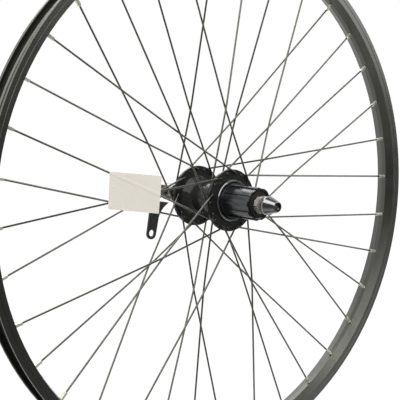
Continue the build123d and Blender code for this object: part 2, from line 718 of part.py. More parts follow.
# Pawl corners in the ratchet's plane, with the heel on the +X side of the core
heel = (PAWL_PIVOT_RADIUS, 0)
tooth_pitch = 360 / RATCHET_TEETH
tooth_face_angle = PAWL_TIP_ARC + PAWL_TOOTH_PLAY
pawl_back_radius = RATCHET_TIP_RADIUS - PAWL_TIP_GAP
pawl_outline = [
    flat_polar(PAWL_PIVOT_RADIUS + PAWL_HEEL_RADIUS, 0),
    flat_polar(pawl_back_radius - PAWL_TIP_GAP, PAWL_TIP_ARC / 4),
    flat_polar(pawl_back_radius, PAWL_TIP_ARC - tooth_pitch),
    flat_polar(PAWL_TIP_RADIUS, PAWL_TIP_ARC),
    flat_polar(PAWL_TIP_RADIUS - PAWL_HEEL_RADIUS, PAWL_TIP_ARC),
    flat_polar(PAWL_PIVOT_RADIUS - PAWL_HEEL_RADIUS / 2, PAWL_TIP_ARC / 4),
]
pocket_end = PAWL_TIP_ARC + PAWL_FOLD / 2
pocket_floor = PAWL_PIVOT_RADIUS - PAWL_HEEL_RADIUS
pocket_outline = [
    flat_polar(CORE_RADIUS + PAWL_HEEL_RADIUS, -PAWL_FOLD / 3),
    flat_polar(CORE_RADIUS + PAWL_HEEL_RADIUS, PAWL_TIP_ARC / 2),
    flat_polar(CORE_RADIUS + PAWL_HEEL_RADIUS, pocket_end),
    flat_polar(PAWL_PIVOT_RADIUS - PAWL_HEEL_RADIUS / 4, pocket_end),
    flat_polar(pocket_floor, PAWL_TIP_ARC / 4),
    flat_polar(PAWL_PIVOT_RADIUS, -PAWL_FOLD / 3),
]
pawl_angles = [PAWL_PHASE + n * 360 / PAWL_COUNT for n in range(PAWL_COUNT)]
wire_room = PAWL_WIRE_RADIUS + PAWL_WIRE_CLEARANCE

# Freehub core: spigot in the shell, running surface for the bushes, pawl pockets and the right ball race
core_end = right_ball_y - race_radius
bolt_head_end = outer_bush_end
counterbore_start = bolt_head_end + BOLT_HEAD_LENGTH
with BuildPart() as freehub_core:
    with BuildSketch(Plane.XY):
        with BuildLine():
            CenterArc((ball_ring, right_ball_y), race_radius, 0, RACE_ARC)
            Polyline(
                (race_foot[0], right_ball_y + race_foot[1]),
                (race_foot[0], counterbore_start),
                (BOLT_RADIUS + BOLT_CLEARANCE, counterbore_start),
                (BOLT_RADIUS + BOLT_CLEARANCE, -socket_depth),
                (CORE_SPIGOT_RADIUS, -socket_depth),
                (CORE_SPIGOT_RADIUS, -shell_drive_end),
                (CORE_RADIUS, -shell_drive_end),
                (CORE_RADIUS, outer_bush_end),
                (CORE_END_RADIUS, outer_bush_end - CORE_END_RADIUS + CORE_RADIUS),
                (CORE_END_RADIUS, core_end),
                (race_top, core_end),
                (race_top, right_ball_y),
            )
        make_face()
    revolve(axis=Axis.Y)
    for pawl_angle in pawl_angles:
        with BuildSketch(across(pawl_start + PAWL_SIDE_GAP, pawl_angle)):
            with Locations(heel):
                Circle(PAWL_HEEL_RADIUS + PAWL_HEEL_CLEARANCE)
            with BuildLine():
                Polyline(*pocket_outline, close=True)
            make_face()
        extrude(amount=PAWL_WIDTH + 2 * PAWL_SIDE_GAP, mode=Mode.SUBTRACT)
    with BuildSketch(Plane.XY):
        with Locations((CORE_RADIUS, pawl_middle)):
            Rectangle(2 * (CORE_RADIUS - PAWL_WIRE_RING + wire_room), 2 * wire_room)
    revolve(axis=Axis.Y, mode=Mode.SUBTRACT)
freehub_core.part.label = "freehub_core"
export_step(freehub_core.part, "parts/freehub_core.step")

# Hollow bolt that holds the core in the shell
with BuildPart() as freehub_fixing_bolt:
    with BuildSketch(Plane.XY):
        with BuildLine():
            Polyline(
                (BOLT_BORE_RADIUS, -bolt_end),
                (BOLT_RADIUS, -bolt_end),
                (BOLT_RADIUS, counterbore_start),
                (BOLT_HEAD_RADIUS, counterbore_start),
                (BOLT_HEAD_RADIUS, bolt_head_end),
                (BOLT_BORE_RADIUS, bolt_head_end),
                close=True,
            )
        make_face()
    revolve(axis=Axis.Y)
freehub_fixing_bolt.part.label = "freehub_fixing_bolt"
export_step(freehub_fixing_bolt.part, "parts/freehub_fixing_bolt.step")

# Pawls, each with a groove for the spring wire
for pawl_name, pawl_angle in zip(("upper_pawl", "lower_pawl"), pawl_angles):
    with BuildPart() as pawl:
        with BuildSketch(across(pawl_start, pawl_angle)):
            with Locations(heel):
                Circle(PAWL_HEEL_RADIUS)
            with BuildLine():
                Polyline(*pawl_outline, close=True)
            make_face()
        extrude(amount=PAWL_WIDTH)
        with BuildSketch(Plane.XY):
            with Locations((CORE_RADIUS + PAWL_WIDTH, pawl_middle)):
                Rectangle(2 * (CORE_RADIUS + PAWL_WIDTH - PAWL_WIRE_RING + wire_room), 2 * wire_room)
        revolve(axis=Axis.Y, mode=Mode.SUBTRACT)
    pawl.part.label = pawl_name
    export_step(pawl.part, f"parts/{pawl_name}.step")

# Spring wire: an open ring that lies in the groove of the core and of both pawls
wire_start = PAWL_PHASE + 90
with BuildPart() as pawl_spring:
    with BuildSketch(Plane.XY.rotated((0, -wire_start, 0))):
        with Locations((PAWL_WIRE_RING, pawl_middle)):
            Circle(PAWL_WIRE_RADIUS)
    revolve(axis=Axis.Y, revolution_arc=360 - PAWL_WIRE_GAP_ARC)
pawl_spring.part.label = "pawl_spring"
export_step(pawl_spring.part, "parts/pawl_spring.step")

# Bushes between the core and the barrel
for bush_name, bush_start in (
    ("freehub_inner_bush", inner_bush_start),
    ("freehub_outer_bush", outer_bush_start),
):
    with BuildPart() as bush:
        with BuildSketch(across(bush_start)):
            Circle(bush_seat)
            Circle(bush_bore, mode=Mode.SUBTRACT)
        extrude(amount=BUSH_LENGTH)
    bush.part.label = bush_name
    export_step(bush.part, f"parts/{bush_name}.step")

# Freehub barrel: splined outside, ratchet teeth inside, a lockring thread's bore in its mouth
teeth = []
for tooth in range(RATCHET_TEETH):
    face_angle = PAWL_PHASE + tooth_face_angle + tooth * tooth_pitch
    teeth.append(flat_polar(RATCHET_TIP_RADIUS, face_angle))
    teeth.append(flat_polar(RATCHET_ROOT_RADIUS, face_angle + tooth_pitch))
groove_pitch = 360 / FREEHUB_SPLINES
with BuildPart() as freehub_barrel:
    with BuildSketch(Plane.XY):
        with BuildLine():
            Polyline(
                (bush_seat, barrel_base),
                (FREEHUB_BASE_RADIUS - EDGE_BREAK, barrel_base),
                (FREEHUB_BASE_RADIUS, barrel_base - EDGE_BREAK),
                (FREEHUB_BASE_RADIUS, spline_start),
                (FREEHUB_RIDGE_RADIUS, spline_start),
                (FREEHUB_RIDGE_RADIUS, -FREEHUB_END + FREEHUB_END_CHAMFER),
                (FREEHUB_RIDGE_RADIUS - FREEHUB_END_CHAMFER, -FREEHUB_END),
                (FREEHUB_THREAD_RADIUS, -FREEHUB_END),
                (FREEHUB_THREAD_RADIUS, thread_start),
                (bush_seat, thread_start),
                (bush_seat, ratchet_end),
                (RATCHET_TIP_RADIUS, ratchet_end),
                (RATCHET_TIP_RADIUS, ratchet_start),
                (bush_seat, ratchet_start),
                close=True,
            )
        make_face()
    revolve(axis=Axis.Y)
    with BuildSketch(across(ratchet_start)):
        with BuildLine():
            Polyline(*teeth, close=True)
        make_face()
    extrude(amount=RATCHET_LENGTH, mode=Mode.SUBTRACT)
    for groove in range(FREEHUB_SPLINES):
        groove_arc = FREEHUB_KEY_GROOVE_ARC if groove == 0 else FREEHUB_GROOVE_ARC
        groove_angle = FREEHUB_PHASE + groove * groove_pitch + groove_arc / 2
        with BuildSketch(Plane.XY.rotated((0, -groove_angle, 0))):
            with Locations((FREEHUB_VALLEY_RADIUS, spline_start)):
                Rectangle(2 * COLLAR_WALL, FREEHUB_END, align=(Align.MIN, Align.MAX))
        revolve(axis=Axis.Y, revolution_arc=groove_arc, mode=Mode.SUBTRACT)
freehub_barrel.part.label = "freehub_barrel"
export_step(freehub_barrel.part, "parts/freehub_barrel.step")

# Quick-release nut: cone with a recess for the axle end, a threaded bore and a finger notch
nut_face = -(locknut_face + DROPOUT_GAP_DRIVE)
nut_back = nut_face - GRIP_RING_THICKNESS
nut_end = nut_face - NUT_LENGTH
nut_thread = SKEWER_RADIUS + SKEWER_THREAD_CLEARANCE
with BuildPart() as qr_nut:
    with BuildSketch(Plane.XY):
        with BuildLine():
            Polyline(
                (END_RECESS_RADIUS, nut_back),
                (NUT_BASE_RADIUS, nut_back),
                (NUT_BASE_RADIUS, nut_face - NUT_BASE_LENGTH),
                (NUT_TIP_RADIUS, nut_end),
                (NUT_END_HOLE_RADIUS, nut_end),
                (NUT_END_HOLE_RADIUS, nut_end + NUT_END_HOLE_DEPTH),
                (nut_thread, nut_end + NUT_END_HOLE_DEPTH),
                (nut_thread, nut_face - NUT_RECESS_DEPTH),
                (END_RECESS_RADIUS, nut_face - NUT_RECESS_DEPTH),
                close=True,
            )
        make_face()
    revolve(axis=Axis.Y)
    tip_edge = qr_nut.edges().filter_by(GeomType.CIRCLE).group_by(Axis.Y)[0].sort_by(SortBy.RADIUS)[-1]
    fillet(tip_edge, radius=NUT_ROUNDING)
    notch_reach = (NUT_BASE_RADIUS + NUT_TIP_RADIUS) / 2 + NUT_NOTCH_RADIUS - NUT_NOTCH_DEPTH
    notch_y = (nut_face - NUT_BASE_LENGTH + nut_end) / 2
    notch_point = polar(notch_reach, NUT_NOTCH_ANGLE, notch_y)
    with Locations(Plane(origin=notch_point, z_dir=polar(1, NUT_NOTCH_ANGLE + 90))):
        Cylinder(NUT_NOTCH_RADIUS, 2 * NUT_BASE_RADIUS, mode=Mode.SUBTRACT)
qr_nut.part.label = "qr_nut"
export_step(qr_nut.part, "parts/qr_nut.step")

# Toothed grip rings that bite the frame, one on the nut and one on the cam housing
housing_face = locknut_face + DROPOUT_GAP_LEFT
housing_back = housing_face + GRIP_RING_THICKNESS
housing_end = housing_face + HOUSING_LENGTH
grip_rings = (
    ("nut_grip_ring", nut_face, -1, NUT_BASE_RADIUS),
    ("housing_grip_ring", housing_face, 1, HOUSING_RADIUS),
)
for ring_name, bite_face, seat_side, ring_radius in grip_rings:
    with BuildPart() as grip_ring:
        with BuildSketch(across(bite_face)):
            Circle(ring_radius - SPRING_SEAT_GAP)
            Circle(END_RECESS_RADIUS + SPRING_SEAT_GAP, mode=Mode.SUBTRACT)
        extrude(amount=-seat_side * GRIP_RING_THICKNESS)
        with BuildSketch(across(bite_face)):
            with PolarLocations((ring_radius + END_RECESS_RADIUS) / 2, GRIP_TEETH):
                Rectangle(ring_radius - END_RECESS_RADIUS, GRIP_GROOVE_WIDTH)
        extrude(amount=-seat_side * GRIP_RING_THICKNESS / 3, mode=Mode.SUBTRACT)
    grip_ring.part.label = ring_name
    export_step(grip_ring.part, f"parts/{ring_name}.step")

# Conical springs on the skewer: the narrow end on the axle, the wide end in the recess
recess_floor = housing_face + HOUSING_RECESS_DEPTH
spring_stand_off = SPRING_WIRE_RADIUS + SPRING_SEAT_GAP
spring_narrow = SKEWER_RADIUS + SPRING_ROD_GAP + SPRING_WIRE_RADIUS
spring_wide = END_RECESS_RADIUS - SPRING_ROD_GAP - SPRING_WIRE_RADIUS
nut_spring_height = NUT_RECESS_DEPTH - (axle_end + nut_face) - 2 * spring_stand_off
housing_spring_height = recess_floor - axle_end - 2 * spring_stand_off
springs = (
    ("nut_spring", -1, nut_spring_height, NUT_SPRING_TURNS),
    ("housing_spring", 1, housing_spring_height, HOUSING_SPRING_TURNS),
)
for spring_name, spring_side, spring_height, spring_turns in springs:
    spring_foot = spring_side * (axle_end + spring_stand_off)
    spring_flare = degrees(atan2(spring_wide - spring_narrow, spring_height))
    with BuildPart() as spring:
        with BuildLine() as coil:
            Helix(
                pitch=spring_height / spring_turns,
                height=spring_height,
                radius=spring_narrow,
                center=(0, spring_foot, 0),
                direction=(0, spring_side, 0),
                cone_angle=spring_flare,
            )
        with BuildSketch(Plane(origin=coil.line @ 0, z_dir=coil.line % 0)):
            Circle(SPRING_WIRE_RADIUS)
        sweep(path=coil.line, is_frenet=True)
    spring.part.label = spring_name
    export_step(spring.part, f"parts/{spring_name}.step")

# Planes of the cam: its pivot lies across the skewer, and the lever hangs down with a slight lean
pivot_y = housing_face + CAM_PIVOT_INSET
pivot_axis = Vector(cos(radians(LEVER_LEAN)), 0, -sin(radians(LEVER_LEAN)))
lever_front = Plane(origin=(0, pivot_y, 0), x_dir=pivot_axis, z_dir=(0, 1, 0))
lever_side = Plane(origin=(0, pivot_y, 0), x_dir=(0, 1, 0), z_dir=-pivot_axis)
eye_y = pivot_y - CAM_THROW
eye_slot_y = 2 * (CAM_PIN_RADIUS + EYE_SIDE_CLEARANCE)
eye_slot_long = 2 * (CAM_PIN_RADIUS + CAM_THROW + EYE_SIDE_CLEARANCE)
eye_size_y = eye_slot_y + 2 * EYE_WALL
eye_size_long = eye_slot_long + 2 * EYE_WALL
cavity_half = EYE_THICKNESS / 2 + EYE_SIDE_CLEARANCE
cavity_end = eye_y + eye_size_y / 2 + 2 * CAM_THROW + EYE_CAVITY_CLEARANCE
journal_start = cavity_half + CAM_RUNNING_CLEARANCE
lever_inner = HOUSING_RADIUS + LEVER_SIDE_GAP
lever_outer = lever_inner + LEVER_BOSS_WIDTH

# Cam housing: a round cap with a slot for the skewer's eye and a cross bore for the cam
with BuildPart() as cam_housing:
    with BuildSketch(Plane.XY):
        with BuildLine():
            Polyline(
                (END_RECESS_RADIUS, housing_back),
                (HOUSING_RADIUS, housing_back),
                (HOUSING_RADIUS, housing_end),
                (0, housing_end),
                (0, recess_floor),
                (END_RECESS_RADIUS, recess_floor),
                close=True,
            )
        make_face()
    revolve(axis=Axis.Y)
    cap_edge = cam_housing.edges().filter_by(GeomType.CIRCLE).sort_by(Axis.Y)[-1]
    fillet(cap_edge, radius=HOUSING_ROUNDING)
    with BuildSketch(lever_front.offset(recess_floor - pivot_y)):
        Rectangle(2 * cavity_half, eye_size_long + 2 * EYE_CAVITY_CLEARANCE)
    extrude(amount=cavity_end - recess_floor, mode=Mode.SUBTRACT)
    with BuildSketch(lever_side):
        Circle(CAM_JOURNAL_RADIUS + CAM_RUNNING_CLEARANCE)
    extrude(amount=2 * HOUSING_RADIUS, both=True, mode=Mode.SUBTRACT)
cam_housing.part.label = "cam_housing"
export_step(cam_housing.part, "parts/cam_housing.step")

# Skewer rod with the slotted eye that the cam pin pulls
rod_end = nut_end + SKEWER_END_INSET
with BuildPart() as skewer_rod:
    with BuildSketch(across(eye_y - eye_slot_y / 2 - EYE_WALL / 2)):
        Circle(SKEWER_RADIUS)
    extrude(amount=eye_y - eye_slot_y / 2 - EYE_WALL / 2 - rod_end)
    with BuildSketch(lever_side.offset(-EYE_THICKNESS / 2)):
        with Locations((-CAM_THROW, 0)):
            RectangleRounded(eye_size_y, eye_size_long, EYE_WALL)
            SlotOverall(eye_slot_long, eye_slot_y, rotation=90, mode=Mode.SUBTRACT)
    extrude(amount=EYE_THICKNESS)
    rod_tip = skewer_rod.edges().filter_by(GeomType.CIRCLE).sort_by(Axis.Y)[0]
    chamfer(rod_tip, length=SPRING_WIRE_RADIUS)
skewer_rod.part.label = "skewer_rod"
export_step(skewer_rod.part, "parts/skewer_rod.step")

# Cam shaft: two journals, the offset pin between them and a stub that carries the lever
with BuildPart() as lever_cam:
    with BuildSketch(lever_side.offset(journal_start)):
        Circle(CAM_JOURNAL_RADIUS)
    extrude(amount=HOUSING_RADIUS + LEVER_SIDE_GAP / 2 - journal_start)
    with BuildSketch(lever_side.offset(HOUSING_RADIUS + LEVER_SIDE_GAP / 2)):
        Circle(CAM_STUB_RADIUS)
    extrude(amount=lever_outer - HOUSING_RADIUS - LEVER_SIDE_GAP / 2)
    with BuildSketch(lever_side.offset(-journal_start)):
        with Locations((-CAM_THROW, 0)):
            Circle(CAM_PIN_RADIUS)
    extrude(amount=2 * journal_start)
    with BuildSketch(lever_side.offset(-HOUSING_RADIUS + LEVER_SIDE_GAP)):
        Circle(CAM_JOURNAL_RADIUS)
    extrude(amount=HOUSING_RADIUS - LEVER_SIDE_GAP - journal_start)
lever_cam.part.label = "lever_cam"
export_step(lever_cam.part, "parts/lever_cam.step")

# Lever: a boss on the stub, a bowed arm that spreads under the housing and a blade with a teardrop hole
blade_outer = LEVER_BLADE_OFFSET + LEVER_WIDTH / 2
blade_inner = LEVER_BLADE_OFFSET - LEVER_WIDTH / 2
tip_half = LEVER_TIP_WIDTH / 2
tip_start = LEVER_LENGTH - tip_half
slot_half = LEVER_SLOT_WIDTH / 2
slot_centre = LEVER_LENGTH - LEVER_SLOT_MARGIN - slot_half
slot_reach = LEVER_SLOT_LENGTH - slot_half
slot_tangent = slot_half**2 / slot_reach
slot_flare = slot_half * sqrt(1 - (slot_half / slot_reach) ** 2)
with BuildPart() as qr_lever:
    with BuildSketch(lever_front):
        with BuildLine():
            Polyline(
                (-LEVER_BLADE_OFFSET - tip_half, tip_start),
                (-blade_outer, LEVER_SHOULDER),
                (-lever_outer, LEVER_NECK),
                (-lever_outer, 0),
                (-lever_inner, 0),
                (-lever_inner, LEVER_WING_START),
                (LEVER_WING_REACH, LEVER_WING_START),
            )
            ThreePointArc(
                (LEVER_WING_REACH, LEVER_WING_START),
                LEVER_WING_MIDDLE,
                (-blade_inner, LEVER_WING_END),
            )
            Line((-blade_inner, LEVER_WING_END), (-LEVER_BLADE_OFFSET + tip_half, tip_start))
            ThreePointArc(
                (-LEVER_BLADE_OFFSET + tip_half, tip_start),
                (-LEVER_BLADE_OFFSET, LEVER_LENGTH),
                (-LEVER_BLADE_OFFSET - tip_half, tip_start),
            )
        make_face()
    extrude(amount=LEVER_LENGTH, both=True)
    with BuildSketch(lever_side):
        with BuildLine():
            bow = ThreePointArc((0, 0), LEVER_BOW_MIDDLE, (LEVER_BOW, LEVER_BOW_END))
            Line(bow @ 1, (LEVER_BOW, LEVER_LENGTH + LEVER_THICKNESS))
        trace(line_width=LEVER_THICKNESS)
    extrude(amount=LEVER_LENGTH, both=True, mode=Mode.INTERSECT)
    with BuildSketch(lever_front):
        with Locations((-LEVER_BLADE_OFFSET, slot_centre)):
            Circle(slot_half)
            with BuildLine():
                Polyline(
                    (-slot_flare, -slot_tangent),
                    (0, -slot_reach),
                    (slot_flare, -slot_tangent),
                    close=True,
                )
            make_face()
    extrude(amount=LEVER_LENGTH, both=True, mode=Mode.SUBTRACT)
    blade_edges = qr_lever.edges().filter_by(
        lambda edge: (edge.center() - lever_front.origin).length > LEVER_SHOULDER
    )
    fillet(blade_edges, radius=LEVER_EDGE)
    with BuildSketch(lever_side.offset(lever_inner)):
        Circle(LEVER_BOSS_RADIUS)
    extrude(amount=LEVER_BOSS_WIDTH)
    with BuildSketch(lever_side.offset(lever_inner)):
        Circle(CAM_STUB_RADIUS)
    extrude(amount=LEVER_BOSS_WIDTH, mode=Mode.SUBTRACT)
qr_lever.part.label = "qr_lever"
export_step(qr_lever.part, "parts/qr_lever.step")
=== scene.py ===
"""Looks of a spoked bicycle rear wheel: finishes for its solids, screw threads, a paper hang tag, a studio.

All lengths are in metres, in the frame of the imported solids: the axle lies along Y with the drive side at -Y,
and +Z is up.
"""

from __future__ import annotations

import logging
import math
from contextlib import contextmanager
from dataclasses import dataclass, field
from enum import Enum
from typing import Callable, Iterable, Iterator, Sequence

import bpy
from mathutils import Matrix, Vector

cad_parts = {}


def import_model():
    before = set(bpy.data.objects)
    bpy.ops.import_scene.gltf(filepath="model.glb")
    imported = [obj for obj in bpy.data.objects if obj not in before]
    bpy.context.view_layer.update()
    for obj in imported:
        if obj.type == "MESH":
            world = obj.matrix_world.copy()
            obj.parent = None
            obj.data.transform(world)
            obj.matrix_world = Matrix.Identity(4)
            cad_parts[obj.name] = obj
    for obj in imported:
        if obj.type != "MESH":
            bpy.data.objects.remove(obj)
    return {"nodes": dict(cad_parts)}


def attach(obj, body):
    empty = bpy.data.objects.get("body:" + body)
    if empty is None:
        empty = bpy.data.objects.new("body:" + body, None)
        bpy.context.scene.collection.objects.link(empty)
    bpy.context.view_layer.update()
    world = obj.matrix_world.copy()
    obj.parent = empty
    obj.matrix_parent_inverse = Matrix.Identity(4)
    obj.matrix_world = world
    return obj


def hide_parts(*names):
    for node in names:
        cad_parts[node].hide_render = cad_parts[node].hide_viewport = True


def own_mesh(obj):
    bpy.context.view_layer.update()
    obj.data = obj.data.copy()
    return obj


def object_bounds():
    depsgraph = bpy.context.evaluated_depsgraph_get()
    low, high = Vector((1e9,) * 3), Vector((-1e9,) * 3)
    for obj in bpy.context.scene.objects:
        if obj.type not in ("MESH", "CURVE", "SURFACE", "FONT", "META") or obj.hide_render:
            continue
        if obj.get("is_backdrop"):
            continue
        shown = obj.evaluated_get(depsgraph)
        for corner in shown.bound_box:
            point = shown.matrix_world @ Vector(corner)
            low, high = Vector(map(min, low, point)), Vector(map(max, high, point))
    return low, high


LOG = logging.getLogger("wheel")

Colour = tuple[float, float, float]
Point = tuple[float, float, float]
Span = tuple[float, float]
Socket = bpy.types.NodeSocket

WHITE = (1.0, 1.0, 1.0, 1.0)
NOISE_MIDDLE: Span = (0.3, 0.7)
SMOOTH_ANGLE = math.radians(40.0)
MERGE_DISTANCE = 0.000001
POINT_SLACK = 0.00005
ACROSS_AXLE: Point = (1.0, 0.0, 1.0)
# Places of the colour sockets on a Mix node, whose names they share with its other kinds.
MIX_SHARE, MIX_FIRST, MIX_SECOND, MIX_RESULT = 0, 6, 7, 2


class Body(Enum):
    """The rigid bodies that new pieces ride on."""

    AXLE = "axle"
    WHEEL = "wheel"
    FREEHUB = "freehub"
    SKEWER = "skewer"
    NUT = "nut"


class ThreadSide(Enum):
    """Which way a screw thread stands out of its cylinder."""

    OUTWARD = 1.0
    INWARD = -1.0


class Nodes:
    """A node tree, built a node at a time."""

    def __init__(self, tree: bpy.types.NodeTree) -> None:
        """Takes up a tree.

        Args:
            tree: The tree to build in.
        """
        self.tree = tree

    def feed(self, socket: Socket, value: object) -> None:
        """Links a socket to an output, or sets its value.

        Args:
            socket: The input.
            value: An output socket or a plain value.
        """
        if isinstance(value, bpy.types.NodeSocket):
            self.tree.links.new(value, socket)
        else:
            socket.default_value = value

    def fill(self, node: bpy.types.Node, values: dict[str, object]) -> bpy.types.Node:
        """Feeds a node's inputs by name.

        Args:
            node: The node.
            values: Socket names, with underscores for spaces, and their values or the sockets to link.

        Returns:
            The node.
        """
        for key, value in values.items():
            self.feed(node.inputs[key.replace("_", " ")], value)
        return node

    def add(self, kind: str, **values: object) -> bpy.types.Node:
        """Adds a node and feeds its inputs by name.

        Args:
            kind: The node's type.
            values: Socket names, with underscores for spaces, and their values or the sockets to link.

        Returns:
            The new node.
        """
        return self.fill(self.tree.nodes.new(kind), values)

    def math(self, operation: str, *values: object) -> Socket:
        """Adds a sum.

        Args:
            operation: The Math node's operation.
            values: Numbers or outputs, in the node's order.

        Returns:
            The result.
        """
        node = self.tree.nodes.new("ShaderNodeMath")
        node.operation = operation
        for socket, value in zip(node.inputs, values):
            self.feed(socket, value)
        return node.outputs["Value"]

    def vector_math(self, operation: str, result: str, *values: object) -> Socket:
        """Adds a sum of vectors.

        Args:
            operation: The Vector Math node's operation.
            result: The output that holds its result, Vector or Value.
            values: Vectors or outputs, in the node's order.

        Returns:
            The result.
        """
        node = self.tree.nodes.new("ShaderNodeVectorMath")
        node.operation = operation
        for socket, value in zip(node.inputs, values):
            self.feed(socket, value)
        return node.outputs[result]

    def ramp(self, value: Socket, source: Span, target: Span = (0.0, 1.0)) -> Socket:
        """Maps a value from one range to another, and holds it at the ends.

        Args:
            value: The value.
            source: The range that it comes from.
            target: The range that it goes to.

        Returns:
            The mapped value.
        """
        node = self.add("ShaderNodeMapRange", Value=value, From_Min=source[0], From_Max=source[1])
        return self.fill(node, {"To Min": target[0], "To Max": target[1]}).outputs["Result"]

    def seen(self, backdrop: Socket) -> Socket:
        """Says whether a ray sees the white background: from the camera, through glass or off a gloss.

        Args:
            backdrop: Where the white sheet lies, which is what glossy surfaces show of it.

        Returns:
            1 for such a ray.
        """
        sight = self.add("ShaderNodeLightPath")
        glossy = self.math("MULTIPLY", sight.outputs["Is Glossy Ray"], backdrop)
        direct = self.math("MAXIMUM", glossy, sight.outputs["Is Camera Ray"])
        return self.math("MAXIMUM", direct, sight.outputs["Is Transmission Ray"])

    def show(self, output: str, share: Socket, first: Socket, second: Socket) -> None:
        """Sends a mix of two shaders to the tree's output.

        Args:
            output: The output node's name.
            share: How much of the second shader shows.
            first: A shader.
            second: A shader.
        """
        mix = self.tree.nodes.new("ShaderNodeMixShader")
        for socket, value in zip(mix.inputs, (share, first, second)):
            self.feed(socket, value)
        self.feed(self.tree.nodes[output].inputs["Surface"], mix.outputs[0])


class Graph(Nodes):
    """A material's node tree on the piece's own coordinates."""

    def __init__(self, name: str) -> None:
        """Starts a material with a Principled surface.

        Args:
            name: The material's name.
        """
        self.material = bpy.data.materials.new(name)
        self.material.use_nodes = True
        super().__init__(self.material.node_tree)
        self.surface = self.tree.nodes["Principled BSDF"]
        self.place = self.add("ShaderNodeTexCoord").outputs["Object"]

    def dress(self, **values: object) -> None:
        """Feeds the surface's inputs by name.

        Args:
            values: Socket names, with underscores for spaces, and their values or the sockets to link.
        """
        self.fill(self.surface, values)

    def noise(self, scale: float, detail: float) -> Socket:
        """Adds a noise.

        Args:
            scale: Waves per metre.
            detail: Octaves.

        Returns:
            The noise's value, from 0 to 1.
        """
        return self.add("ShaderNodeTexNoise", Vector=self.place, Scale=scale, Detail=detail).outputs["Fac"]

    def patches(self, scale: float, detail: float, target: Span = (0.0, 1.0)) -> Socket:
        """Adds a noise whose middle is spread over a range.

        Args:
            scale: Waves per metre.
            detail: Octaves.
            target: The range.

        Returns:
            The spread value.
        """
        return self.ramp(self.noise(scale, detail), NOISE_MIDDLE, target)

    def blend(self, share: Socket, first: object, second: object) -> Socket:
        """Mixes two colours.

        Args:
            share: How much of the second colour shows.
            first: A colour or an output.
            second: A colour or an output.

        Returns:
            The mixed colour.
        """
        node = self.tree.nodes.new("ShaderNodeMix")
        node.data_type = "RGBA"
        for index, value in ((MIX_SHARE, share), (MIX_FIRST, first), (MIX_SECOND, second)):
            self.feed(node.inputs[index], (*value, 1.0) if isinstance(value, tuple) else value)
        return node.outputs[MIX_RESULT]

    def reach(self) -> Socket:
        """Gives a point's distance from the axle's line."""
        flat = self.vector_math("MULTIPLY", "Vector", self.place, ACROSS_AXLE)
        return self.vector_math("LENGTH", "Value", flat)

    def along(self) -> Socket:
        """Gives a point's place along the axle."""
        return self.add("ShaderNodeSeparateXYZ", Vector=self.place).outputs["Y"]

    def within(self, value: Socket, limits: Span) -> Socket:
        """Says whether a value lies in a range.

        Args:
            value: The value.
            limits: The range.

        Returns:
            1 inside the range and 0 outside it.
        """
        low, high = limits
        return self.math("COMPARE", value, (low + high) / 2, (high - low) / 2)

    def rings(self, per_metre: float) -> Socket:
        """Turning lines round the axle: they run round a barrel and in circles over a face.

        Args:
            per_metre: Lines per metre.

        Returns:
            The lines' height, from 0 to 1.
        """
        travel = self.math("ADD", self.reach(), self.along())
        lines = self.tree.nodes.new("ShaderNodeTexNoise")
        lines.noise_dimensions = "1D"
        return self.fill(lines, {"W": travel, "Scale": per_metre, "Detail": 3.0}).outputs["Fac"]

    def relief(self, height: Socket, strength: float, depth: float, under: Socket | None = None) -> Socket:
        """Turns a height into a bump.

        Args:
            height: The height field.
            strength: Share of the bump that shows.
            depth: Height of a full step.
            under: A bump that lies below this one.

        Returns:
            The bumped normal.
        """
        node = self.add("ShaderNodeBump", Height=height, Strength=strength, Distance=depth)
        if under is not None:
            self.feed(node.inputs["Normal"], under)
        return node.outputs["Normal"]


@dataclass(frozen=True)
class Zone:
    """A ring-shaped part of a piece that shows another tone."""

    radius: Span
    along: Span
    tone: Colour
    metallic: float


@dataclass(frozen=True)
class MetalFinish:
    """A metal or painted surface: two close tones, uneven gloss, fine grain and turning lines."""

    name: str
    tone: Colour
    worn_tone: Colour
    metallic: float
    gloss: Span
    cloud: float
    grain_depth: float = 0.00002
    turning: float = 0.0
    specular: float = 0.5
    zone: Zone | None = None
    gloss_ratio: float = 3.0
    grain: float = 2600.0
    grain_show: float = 0.35
    lines: float = 2400.0
    line_depth: float = 0.00006

    def material(self) -> bpy.types.Material:
        """Builds the finish as a node material.

        Returns:
            The material.
        """
        graph = Graph(self.name)
        colour = graph.blend(graph.patches(self.cloud, detail=4.0), self.tone, self.worn_tone)
        graph.dress(Metallic=self.metallic, Specular_IOR_Level=self.specular)
        if self.zone is not None:
            ring = graph.within(graph.reach(), self.zone.radius)
            inside = graph.math("MULTIPLY", ring, graph.within(graph.along(), self.zone.along))
            colour = graph.blend(inside, colour, self.zone.tone)
            change = self.zone.metallic - self.metallic
            graph.dress(Metallic=graph.math("MULTIPLY_ADD", inside, change, self.metallic))
        normal = graph.relief(graph.noise(self.grain, detail=2.0), self.grain_show, self.grain_depth)
        if self.turning > 0.0:
            normal = graph.relief(graph.rings(self.lines), self.turning, self.line_depth, normal)
        roughness = graph.patches(self.cloud * self.gloss_ratio, detail=5.0, target=self.gloss)
        graph.dress(Base_Color=colour, Roughness=roughness, Normal=normal)
        return graph.material


